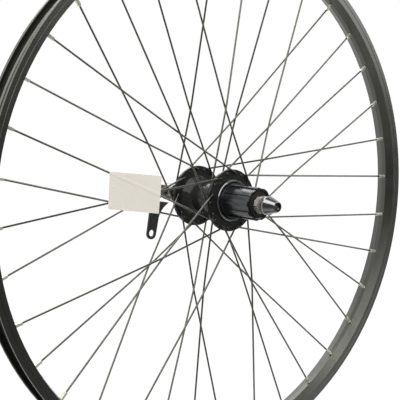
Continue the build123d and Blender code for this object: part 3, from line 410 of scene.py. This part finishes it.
@dataclass(frozen=True)
class RubberFinish:
    """Matt rubber or tape with dust and a fine pebble."""

    name: str
    tone: Colour
    dust_tone: Colour
    roughness: float
    specular: float = 0.3
    dust: float = 90.0
    pebble: float = 1500.0
    pebble_show: float = 0.4
    pebble_depth: float = 0.00005

    def material(self) -> bpy.types.Material:
        """Builds the finish as a node material.

        Returns:
            The material.
        """
        graph = Graph(self.name)
        graph.dress(
            Base_Color=graph.blend(graph.patches(self.dust, detail=6.0), self.tone, self.dust_tone),
            Normal=graph.relief(graph.noise(self.pebble, detail=3.0), self.pebble_show, self.pebble_depth),
            Roughness=self.roughness,
            Specular_IOR_Level=self.specular,
        )
        return graph.material


@dataclass(frozen=True)
class PaperFinish:
    """Uncoated label paper with soft mottling and fibres."""

    name: str
    tone: Colour
    shade_tone: Colour
    roughness: float = 0.75
    specular: float = 0.25
    mottle: float = 45.0
    fibre: float = 900.0
    fibre_show: float = 0.2
    fibre_depth: float = 0.00001

    def material(self) -> bpy.types.Material:
        """Builds the finish as a node material.

        Returns:
            The material.
        """
        graph = Graph(self.name)
        graph.dress(
            Base_Color=graph.blend(graph.patches(self.mottle, detail=5.0), self.tone, self.shade_tone),
            Normal=graph.relief(graph.noise(self.fibre, detail=4.0), self.fibre_show, self.fibre_depth),
            Roughness=self.roughness,
            Specular_IOR_Level=self.specular,
        )
        return graph.material


SPOKE_HEADS = Zone((0.0, 0.0330), (-0.1, 0.1), (0.055, 0.055, 0.055), 0.8)
# Painted highlight: the glossy black collar lip gets a lighter grey metal tone, in place of the crescent of
# light that it reflects.
COLLAR_LIP_PAINTED_HIGHLIGHT = Zone((0.0197, 0.0223), (-0.0225, -0.0212), (0.23, 0.235, 0.24), 0.9)
# Painted shade: the freehub's end face, and its bore and thread just inside it, are painted near black where
# shade falls in the mouth.
FREEHUB_MOUTH_PAINTED_SHADE = Zone((0.0, 0.0180), (-0.0625, -0.0611), (0.012, 0.012, 0.012), 0.2)

RIM_BLACK = MetalFinish(
    "rim_black_anodised", (0.086, 0.086, 0.077), (0.099, 0.099, 0.089), 0.93, (0.28, 0.33), 25.0,
    grain_depth=0.000001, turning=0.006,
)
SPOKE_BLACK = MetalFinish(
    "spoke_black_steel", (0.112, 0.109, 0.090), (0.148, 0.144, 0.121), 0.8, (0.22, 0.30), 120.0,
    grain_depth=0.000004, zone=SPOKE_HEADS,
)
NIPPLE_NICKEL = MetalFinish(
    "nipple_nickel_plate", (0.88, 0.85, 0.74), (0.76, 0.72, 0.60), 0.55, (0.18, 0.26), 400.0,
    grain_depth=0.000004,
)
HUB_BLACK = MetalFinish(
    "hub_black_gloss", (0.0200, 0.0205, 0.0185), (0.0235, 0.0240, 0.0222), 0.0, (0.13, 0.18), 80.0,
    grain_depth=0.000003, turning=0.02, specular=0.25, zone=COLLAR_LIP_PAINTED_HIGHLIGHT,
)
FREEHUB_DARK = MetalFinish(
    "freehub_dark_satin", (0.068, 0.070, 0.075), (0.088, 0.090, 0.095), 0.85, (0.20, 0.26), 90.0,
    grain_depth=0.000004, turning=0.05, zone=FREEHUB_MOUTH_PAINTED_SHADE,
)
BEARING_STEEL = MetalFinish(
    "ground_bearing_steel", (0.60, 0.60, 0.61), (0.50, 0.50, 0.51), 1.0, (0.12, 0.22), 300.0, turning=0.1
)
PLATED_STEEL = MetalFinish(
    "zinc_plated_steel", (0.64, 0.62, 0.56), (0.54, 0.52, 0.465), 0.55, (0.24, 0.30), 200.0,
    grain_depth=0.0000015, turning=0.01,
)
# Painted shade: the turned steel of the axle, skewer, freehub core, bolt, lever cam and threads is painted near
# black, so that the gaps by the axle's ends read as shade.
AXLE_STEEL_PAINTED_SHADE = MetalFinish(
    "axle_steel_painted_shade", (0.085, 0.078, 0.068), (0.12, 0.11, 0.095), 1.0, (0.30, 0.42), 200.0,
    grain_depth=0.000006, turning=0.08,
)
BUSH_BRONZE = MetalFinish(
    "bush_bronze", (0.52, 0.36, 0.18), (0.40, 0.27, 0.14), 1.0, (0.30, 0.40), 300.0, turning=0.3
)
NUT_GREY = MetalFinish(
    "nut_grey_satin", (0.20, 0.198, 0.202), (0.24, 0.238, 0.242), 1.0, (0.11, 0.15), 150.0,
    grain_depth=0.0000015, turning=0.015,
)
# Painted shade: the steel grip rings of the nut and the cam housing are painted near black, as shade in the
# gaps at the axle's ends.
GRIP_RING_PAINTED_SHADE = MetalFinish(
    "grip_ring_painted_shade", (0.030, 0.026, 0.022), (0.046, 0.040, 0.034), 0.3, (0.38, 0.5), 200.0, turning=0.1
)
HOUSING_GREY = MetalFinish(
    "housing_grey_satin", (0.25, 0.245, 0.225), (0.32, 0.31, 0.285), 0.6, (0.30, 0.40), 150.0,
    grain_depth=0.000006, turning=0.06,
)
LEVER_BLACK = MetalFinish(
    "lever_black_satin", (0.017, 0.017, 0.017), (0.027, 0.0265, 0.026), 0.1, (0.30, 0.38), 140.0,
    grain_depth=0.000006,
)
SPRING_STEEL = MetalFinish(
    "spring_steel", (0.30, 0.29, 0.28), (0.22, 0.21, 0.20), 1.0, (0.26, 0.38), 400.0, grain_depth=0.000008
)
SEAL_BLACK = RubberFinish("seal_black_rubber", (0.009, 0.009, 0.009), (0.014, 0.0135, 0.013), 0.7)
TAPE_BLACK = RubberFinish("rim_tape_black", (0.022, 0.022, 0.022), (0.034, 0.033, 0.032), 0.85)
LABEL_PAPER = PaperFinish("label_paper", (0.92, 0.87, 0.785), (0.88, 0.83, 0.745))

Finish = MetalFinish | RubberFinish | PaperFinish


class Workbench:
    """Blender's operators, wrapped as single workshop steps on the active piece."""

    @staticmethod
    def clear() -> None:
        """Leaves edit mode and deselects everything."""
        if bpy.context.object is not None and bpy.context.object.mode != "OBJECT":
            bpy.ops.object.mode_set(mode="OBJECT")
        bpy.ops.object.select_all(action="DESELECT")

    @staticmethod
    @contextmanager
    def editing() -> Iterator[None]:
        """Opens the active piece's mesh with all of it selected, and closes it again.

        Yields:
            Nothing, while the mesh is open.
        """
        bpy.ops.object.mode_set(mode="EDIT")
        bpy.ops.mesh.select_all(action="SELECT")
        yield
        bpy.ops.object.mode_set(mode="OBJECT")

    @staticmethod
    @contextmanager
    def picking(piece: bpy.types.Object, wanted: Callable[[Vector], bool]) -> Iterator[None]:
        """Opens the active piece's mesh with some of its points selected, and closes it again.

        Args:
            piece: The piece, in object mode.
            wanted: Says of a point whether it is selected.

        Yields:
            Nothing, while the mesh is open.
        """
        for group in (piece.data.vertices, piece.data.edges, piece.data.polygons):
            for item in group:
                item.select = False
        for vertex in piece.data.vertices:
            vertex.select = wanted(vertex.co)
        bpy.ops.object.mode_set(mode="EDIT")
        bpy.ops.mesh.select_mode(type="VERT")
        yield
        bpy.ops.object.mode_set(mode="OBJECT")

    @staticmethod
    def shift(piece: bpy.types.Object, wanted: Callable[[Vector], bool], step: Vector) -> None:
        """Moves some points of a piece.

        Args:
            piece: The piece, in object mode.
            wanted: Says of a point whether it moves.
            step: How far it moves.
        """
        with Workbench.picking(piece, wanted):
            bpy.ops.transform.translate(value=step)

    @staticmethod
    def wall(piece: bpy.types.Object, thickness: float) -> None:
        """Gives a sheet its thickness.

        Args:
            piece: The sheet.
            thickness: Its thickness, half to each side.
        """
        modifier = piece.modifiers.new("wall", "SOLIDIFY")
        modifier.thickness = thickness
        modifier.offset = 0.0
        bpy.ops.object.modifier_apply(modifier=modifier.name)

    @staticmethod
    def finish(
        piece: bpy.types.Object, name: str, body: Body, finish: bpy.types.Material, slot: str
    ) -> bpy.types.Object:
        """Names a piece, smooths it, dresses it and sets it on its body.

        Args:
            piece: The piece.
            name: Its name.
            body: The body that carries it.
            finish: Its material.
            slot: The record's material slot; not used.

        Returns:
            The piece.
        """
        piece.name = name
        piece.data.name = name
        piece.data.materials.clear()
        piece.data.materials.append(finish)
        bpy.ops.object.shade_smooth_by_angle(angle=SMOOTH_ANGLE)
        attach(piece, body.value)
        LOG.info("made %s with %d faces", name, len(piece.data.polygons))
        return piece


@dataclass
class FinishBook:
    """Builds each finish once and hands it out."""

    made: dict[str, bpy.types.Material] = field(default_factory=dict)

    def of(self, finish: Finish) -> bpy.types.Material:
        """Gives the material of a finish.

        Args:
            finish: The finish.

        Returns:
            Its material.
        """
        if finish.name not in self.made:
            self.made[finish.name] = finish.material()
        return self.made[finish.name]


@dataclass
class SolidDressing:
    """Which finish each solid of the wheel wears."""

    finishes: dict[str, Finish] = field(
        default_factory=lambda: {
            "rim": RIM_BLACK,
            "rim_strip": TAPE_BLACK,
            "spokes_drive_leading": SPOKE_BLACK,
            "spokes_drive_trailing": SPOKE_BLACK,
            "spokes_left_leading": SPOKE_BLACK,
            "spokes_left_trailing": SPOKE_BLACK,
            "nipples": NIPPLE_NICKEL,
            "hub_shell": HUB_BLACK,
            "left_bearing_cup": BEARING_STEEL,
            "left_dust_cap": PLATED_STEEL,
            "freehub_core": AXLE_STEEL_PAINTED_SHADE,
            "freehub_fixing_bolt": AXLE_STEEL_PAINTED_SHADE,
            "pawl_spring": SPRING_STEEL,
            "freehub_barrel": FREEHUB_DARK,
            "freehub_inner_bush": BUSH_BRONZE,
            "freehub_outer_bush": BUSH_BRONZE,
            "upper_pawl": BEARING_STEEL,
            "lower_pawl": BEARING_STEEL,
            "bearing_balls": BEARING_STEEL,
            "axle": AXLE_STEEL_PAINTED_SHADE,
            "left_cone": BEARING_STEEL,
            "right_cone": BEARING_STEEL,
            "left_spacer": PLATED_STEEL,
            "left_lock_washer": PLATED_STEEL,
            "right_lock_washer": PLATED_STEEL,
            "left_locknut": PLATED_STEEL,
            "right_locknut": PLATED_STEEL,
            "right_dust_seal": SEAL_BLACK,
            "cam_housing": HOUSING_GREY,
            "housing_grip_ring": GRIP_RING_PAINTED_SHADE,
            "housing_spring": SPRING_STEEL,
            "skewer_rod": AXLE_STEEL_PAINTED_SHADE,
            "qr_nut": NUT_GREY,
            "nut_grip_ring": GRIP_RING_PAINTED_SHADE,
            "nut_spring": SPRING_STEEL,
            "qr_lever": LEVER_BLACK,
            "lever_cam": AXLE_STEEL_PAINTED_SHADE,
        }
    )

    def dress(self, nodes: dict[str, bpy.types.Object], book: FinishBook) -> None:
        """Puts each solid's finish on it.

        Args:
            nodes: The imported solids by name.
            book: The finishes.
        """
        for name, finish in self.finishes.items():
            solid = nodes[name]
            solid.data.materials.clear()
            solid.data.materials.append(book.of(finish))
            LOG.info("dressed %s in %s", name, finish.name)


@dataclass
class ScrewThread:
    """A helical screw thread round the axle's line."""

    name: str
    body: Body
    slot: str
    radius: float
    pitch: float
    start: float
    length: float
    side: ThreadSide = ThreadSide.OUTWARD
    steps: int = 28
    ridge_share: float = 0.42

    def build(self, finish: bpy.types.Material) -> bpy.types.Object:
        """Winds a three-sided ridge round the axle and closes its ends.

        Args:
            finish: The thread's material.

        Returns:
            The thread.
        """
        Workbench.clear()
        ridge = self.pitch * self.ridge_share
        place = (self.radius, self.start, 0.0)
        bpy.ops.mesh.primitive_circle_add(vertices=3, radius=ridge, fill_type="NOTHING", location=place)
        thread = bpy.context.active_object
        bpy.ops.object.transform_apply(location=True, rotation=True, scale=True)
        quarter = math.radians(90.0) * self.side.value
        with Workbench.editing():
            bpy.ops.transform.rotate(value=quarter, orient_axis="Z", center_override=place)
        modifier = thread.modifiers.new("wind", "SCREW")
        modifier.axis = "Y"
        modifier.screw_offset = self.pitch
        modifier.iterations = max(1, round(self.length / self.pitch))
        modifier.steps = self.steps
        modifier.render_steps = self.steps
        bpy.ops.object.modifier_apply(modifier=modifier.name)
        with Workbench.editing():
            bpy.ops.mesh.remove_doubles(threshold=MERGE_DISTANCE)
            bpy.ops.mesh.select_all(action="SELECT")
            bpy.ops.mesh.fill_holes(sides=4)
            bpy.ops.mesh.select_all(action="SELECT")
            bpy.ops.mesh.normals_make_consistent(inside=False)
        return Workbench.finish(thread, self.name, self.body, finish, self.slot)


@dataclass
class ThreadSet:
    """The screw threads that show on the axle, the skewer and in the freehub's mouth."""

    threads: Sequence[ScrewThread] = (
        ScrewThread("axle_thread_drive", Body.AXLE, "axle_steel", 0.00478, 0.0010, -0.0724, 0.0048),
        ScrewThread("axle_thread_lever", Body.AXLE, "axle_steel", 0.00478, 0.0010, 0.0676, 0.0048),
        ScrewThread("skewer_thread", Body.SKEWER, "axle_steel", 0.00234, 0.0008, -0.0865, 0.0240),
        ScrewThread(
            "lockring_thread", Body.FREEHUB, "freehub_dark", 0.01528, 0.0010, -0.0610, 0.0045,
            side=ThreadSide.INWARD, steps=48,
        ),
    )

    def build(self, steel: bpy.types.Material, dark: bpy.types.Material) -> list[bpy.types.Object]:
        """Winds every thread.

        Args:
            steel: Finish of the axle's and the skewer's threads, steel painted near black as shade.
            dark: Finish of the freehub's thread.

        Returns:
            The threads.
        """
        return [thread.build(dark if thread.body is Body.FREEHUB else steel) for thread in self.threads]


@dataclass
class HangTag:
    """A bare paper label stuck to one drive-side spoke, with a paper band round the spoke behind it.

    The corners start at the label's lower left as the camera sees it. The band's route goes across the spoke,
    in spoke radii, and out of the label, in thicknesses of half a spoke with its paper.
    """

    corners: Sequence[Point] = (
        (-0.1526, -0.0096, 0.0038),
        (-0.0940, -0.0142, -0.0057),
        (-0.0897, -0.0145, 0.0320),
        (-0.1503, -0.0097, 0.0402),
    )
    spoke_start: Point = (-0.09766, -0.01256, 0.01529)
    spoke_end: Point = (-0.25752, 0.0, 0.08817)
    spoke_radius: float = 0.0010
    blank: float = 0.05
    paper: float = 0.00022
    bow: float = 0.0006
    curl: float = 0.00096
    curl_reach: float = 0.3
    columns: int = 40
    column_slack: float = 0.0003
    crease: float = 0.00016
    crease_steps: Sequence[Span] = ((0.0016, 0.35), (0.0009, 0.65))
    band_reach: float = 0.036
    band_width: float = 0.009
    band_route: Sequence[Span] = (
        (-6.0, 0.75), (-2.4, 0.65), (-1.35, 0.15), (-0.95, -0.75), (0.0, -1.1),
        (0.95, -0.75), (1.35, 0.15), (2.4, 0.65), (6.0, 0.75),
    )

    @property
    def run(self) -> Vector:
        """Direction of the spoke that carries the label."""
        return (Vector(self.spoke_end) - Vector(self.spoke_start)).normalized()

    @property
    def out(self) -> Vector:
        """Direction out of the label's face.

        Returns:
            The direction, towards the drive side.
        """
        first, second, third, fourth = (Vector(corner) for corner in self.corners)
        square = (second - fourth).cross(third - first).normalized()
        return square if square.y < 0.0 else -square

    def build(self, finish: bpy.types.Material) -> list[bpy.types.Object]:
        """Makes the label and its band.

        Args:
            finish: The paper.

        Returns:
            Both pieces.
        """
        return [self.label(finish), self.band(finish)]

    @staticmethod
    def near(*places: Vector) -> Callable[[Vector], bool]:
        """Gives a test for points at certain places.

        Args:
            places: The places.

        Returns:
            The test.
        """
        return lambda point: min((point - place).length for place in places) < POINT_SLACK

    def sheet(self, corners: Iterable[Vector]) -> bpy.types.Object:
        """Makes a flat sheet with its corners in place.

        Args:
            corners: Its four corners in turn.

        Returns:
            The sheet.
        """
        Workbench.clear()
        bpy.ops.mesh.primitive_plane_add(size=self.blank)
        sheet = bpy.context.active_object
        for (right, up), corner in zip(((-1, -1), (1, -1), (1, 1), (-1, 1)), corners):
            start = Vector((right, up, 0.0)) * (self.blank / 2)
            Workbench.shift(sheet, self.near(start), corner - start)
        return sheet

    def label(self, finish: bpy.types.Material) -> bpy.types.Object:
        """Makes the label: a sheet that is bowed, and pressed up along the spoke behind it.

        Args:
            finish: The paper.

        Returns:
            The label.
        """
        sheet = self.sheet(Vector(corner) for corner in self.corners)
        with Workbench.editing():
            bpy.ops.mesh.subdivide(number_cuts=self.columns - 1)
        self.bend(sheet)
        self.press(sheet)
        Workbench.wall(sheet, self.paper)
        return Workbench.finish(sheet, "paper_label", Body.WHEEL, finish, "nipple_nickel")

    def bend(self, sheet: bpy.types.Object) -> None:
        """Bows the label across its length and curls its left end, a column of points at a time.

        Args:
            sheet: The flat label.
        """
        low_left, low_right, high_right, high_left = (Vector(corner) for corner in self.corners)
        for column in range(self.columns + 1):
            share = column / self.columns
            foot = low_left.lerp(low_right, share)
            rise = (high_left.lerp(high_right, share) - foot).normalized()
            end = max(0.0, 1.0 - share / self.curl_reach)
            lift = self.bow * math.sin(math.pi * share) + self.curl * end**2

            def in_column(point: Vector, foot: Vector = foot, rise: Vector = rise) -> bool:
                """Says whether a point lies in this column.

                Args:
                    point: The point.
                    foot: The column's lower end.
                    rise: The column's direction.

                Returns:
                    Whether it does.
                """
                offset = point - foot
                return (offset - rise * offset.dot(rise)).length < self.column_slack

            Workbench.shift(sheet, in_column, self.out * lift)

    def press(self, sheet: bpy.types.Object) -> None:
        """Raises the crease that the spoke leaves in the label.

        Args:
            sheet: The bowed label.
        """
        origin = Vector(self.spoke_start)
        for reach, share in self.crease_steps:

            def near_spoke(point: Vector, reach: float = reach) -> bool:
                """Says whether a point lies over the spoke.

                Args:
                    point: The point.
                    reach: How far from the spoke's line it may lie.

                Returns:
                    Whether it does.
                """
                offset = point - origin
                away = offset - self.run * offset.dot(self.run)
                return (away - self.out * away.dot(self.out)).length < reach

            Workbench.shift(sheet, near_spoke, self.out * self.crease * share)

    def band(self, finish: bpy.types.Material) -> bpy.types.Object:
        """Makes the band: a strip stuck to the label's back on both sides of the spoke and wrapped round it.

        Args:
            finish: The paper.

        Returns:
            The band.
        """
        across = self.run.cross(self.out).normalized() * self.spoke_radius
        middle = Vector(self.spoke_start) + self.run * self.band_reach
        outward = self.out * (self.spoke_radius + self.paper)
        spots = [middle + across * side + outward * height for side, height in self.band_route]
        half = self.run * (self.band_width / 2)
        strip = self.sheet((spots[0] - half, spots[1] - half, spots[1] + half, spots[0] + half))
        for here, there in zip(spots[1:], spots[2:]):
            with Workbench.picking(strip, self.near(here - half, here + half)):
                bpy.ops.mesh.extrude_region_move(TRANSFORM_OT_translate={"value": there - here})
        with Workbench.editing():
            bpy.ops.mesh.normals_make_consistent(inside=False)
        Workbench.wall(strip, self.paper)
        return Workbench.finish(strip, "paper_band", Body.WHEEL, finish, "nipple_nickel")


@dataclass
class NutSpring:
    """The conical spring that the nut presses flat on the axle's end as the lever closes."""

    node: str = "nut_spring"
    joint: str = "skewer_pull"
    travel: float = 0.0035

    def build(self, nodes: dict[str, bpy.types.Object], finish: bpy.types.Material) -> bpy.types.Object:
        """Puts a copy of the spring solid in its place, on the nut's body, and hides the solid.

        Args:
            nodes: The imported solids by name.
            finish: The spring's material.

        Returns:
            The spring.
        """
        Workbench.clear()
        spring = bpy.data.objects.new("pressed_spring", nodes[self.node].data.copy())
        bpy.context.collection.objects.link(spring)
        bpy.context.view_layer.objects.active = spring
        spring.select_set(True)
        Workbench.finish(spring, "pressed_spring", Body.NUT, finish, "spring_steel")
        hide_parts(self.node)
        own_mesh(spring)
        return spring


@dataclass
class PhotoCamera:
    """The camera that took the photograph."""

    place: Point = (-0.69883, -0.799605, 0.13587)
    right: Point = (0.765774, -0.643099, -0.003691)
    up: Point = (0.084902, 0.095405, 0.991811)
    back: Point = (-0.637481, -0.759817, 0.127659)
    lens: float = 89.77
    sensor: float = 36.0
    nearest: float = 0.01
    rise: float = -0.001

    def build(self) -> bpy.types.Object:
        """Sets the camera in place.

        Returns:
            The camera.
        """
        Workbench.clear()
        bpy.ops.object.camera_add()
        camera = bpy.context.active_object
        camera.name = "photo_camera"
        columns = Matrix((self.right, self.up, self.back)).transposed()
        camera.matrix_world = Matrix.Translation(self.place) @ columns.to_4x4()
        camera.data.lens = self.lens
        camera.data.sensor_width = self.sensor
        camera.data.sensor_fit = "HORIZONTAL"
        camera.data.clip_start = self.nearest
        camera.data.shift_y = self.rise
        bpy.context.scene.camera = camera
        return camera


@dataclass(frozen=True)
class Lamp:
    """A soft square lamp that faces the wheel, with its power in watts and its edge."""

    name: str
    place: Point
    power: float
    edge: float

    def hang(self) -> None:
        """Hangs the lamp."""
        Workbench.clear()
        bpy.ops.object.light_add(type="AREA", location=self.place)
        lamp = bpy.context.active_object
        lamp.name = self.name
        lamp.data.energy = self.power
        lamp.data.size = self.edge
        lamp.rotation_euler = Vector(self.place).to_track_quat("Z", "Y").to_euler()


@dataclass
class Studio:
    """A floor under the wheel, soft lamps, and a white sheet behind the wheel in a dimmer room."""

    floor_level: float = -0.2857
    floor_size: float = 8.0
    front_tone: Colour = (0.08, 0.08, 0.08)
    back_tone: Colour = (0.40, 0.40, 0.40)
    floor_roughness: float = 0.9
    glow: float = 1.085
    glow_share: float = 0.9
    floor_edge: Span = (-0.25, 0.05)
    sheet_heading: Point = (0.36, 0.87, 0.33)
    sheet_edge: Span = (0.0, 0.25)
    room_light: Span = (0.14, 1.0)
    lamps: Sequence[Lamp] = (
        Lamp("key_lamp", (-1.5, -1.1, 2.4), 150.0, 4.0),
        Lamp("fill_lamp", (1.9, -1.5, 0.9), 26.0, 1.6),
        Lamp("back_lamp", (0.6, 2.2, 1.6), 24.0, 1.6),
    )

    def build(self) -> None:
        """Sets up the floor, the lamps and the surround."""
        self.floor()
        for lamp in self.lamps:
            lamp.hang()
        self.surround()
        bpy.context.scene.view_settings.view_transform = "Standard"

    def floor(self) -> None:
        """Lays a floor, dark before the wheel and pale behind it, that looks white and keeps a shadow."""
        Workbench.clear()
        bpy.ops.mesh.primitive_plane_add(size=self.floor_size, location=(0.0, 0.0, self.floor_level))
        floor = bpy.context.active_object
        floor.name = "studio_floor"
        graph = Graph("studio_floor")
        behind = graph.vector_math("DOT_PRODUCT", "Value", graph.place, self.sheet_heading)
        sheet = graph.ramp(behind, self.floor_edge)
        tone = graph.blend(sheet, self.front_tone, self.back_tone)
        graph.dress(Base_Color=tone, Roughness=self.floor_roughness)
        glow = graph.add("ShaderNodeEmission", Color=WHITE, Strength=self.glow)
        share = graph.math("MULTIPLY", graph.seen(sheet), self.glow_share)
        graph.show("Material Output", share, graph.surface.outputs[0], glow.outputs[0])
        floor.data.materials.append(graph.material)
        floor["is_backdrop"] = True

    def surround(self) -> None:
        """Wraps the scene in white for the camera, and in the white sheet and the room for the light."""
        world = bpy.data.worlds.new("studio_surround")
        bpy.context.scene.world = world
        world.use_nodes = True
        nodes = Nodes(world.node_tree)
        heading = nodes.add("ShaderNodeTexCoord").outputs["Generated"]
        facing = nodes.vector_math("DOT_PRODUCT", "Value", heading, self.sheet_heading)
        light = nodes.ramp(facing, self.sheet_edge, self.room_light)
        sheet = nodes.ramp(facing, self.sheet_edge)
        room = nodes.fill(nodes.tree.nodes["Background"], {"Color": WHITE, "Strength": light})
        white = nodes.add("ShaderNodeBackground", Color=WHITE, Strength=1.0)
        nodes.show("World Output", nodes.seen(sheet), room.outputs[0], white.outputs[0])


def corners(bounds: Iterable[Iterable[float]]) -> list[list[float]]:
    """Gives a box as plain lists of numbers.

    Args:
        bounds: The box's lowest and highest corners.

    Returns:
        The same corners as lists.
    """
    return [[float(number) for number in corner] for corner in bounds]


def main() -> None:
    """Loads the solids, dresses them, adds the new pieces and sets up the studio."""
    logging.basicConfig(level=logging.INFO, format="%(name)s: %(message)s")
    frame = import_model()
    solid_box = corners(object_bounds())
    PhotoCamera().build()
    book = FinishBook()
    SolidDressing().dress(frame["nodes"], book)
    ThreadSet().build(book.of(AXLE_STEEL_PAINTED_SHADE), book.of(FREEHUB_DARK))
    NutSpring().build(frame["nodes"], book.of(SPRING_STEEL))
    HangTag().build(book.of(LABEL_PAPER))
    Studio().build()
    {"cad": solid_box, "visual": corners(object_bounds())}


if __name__ == "__main__":
    main()
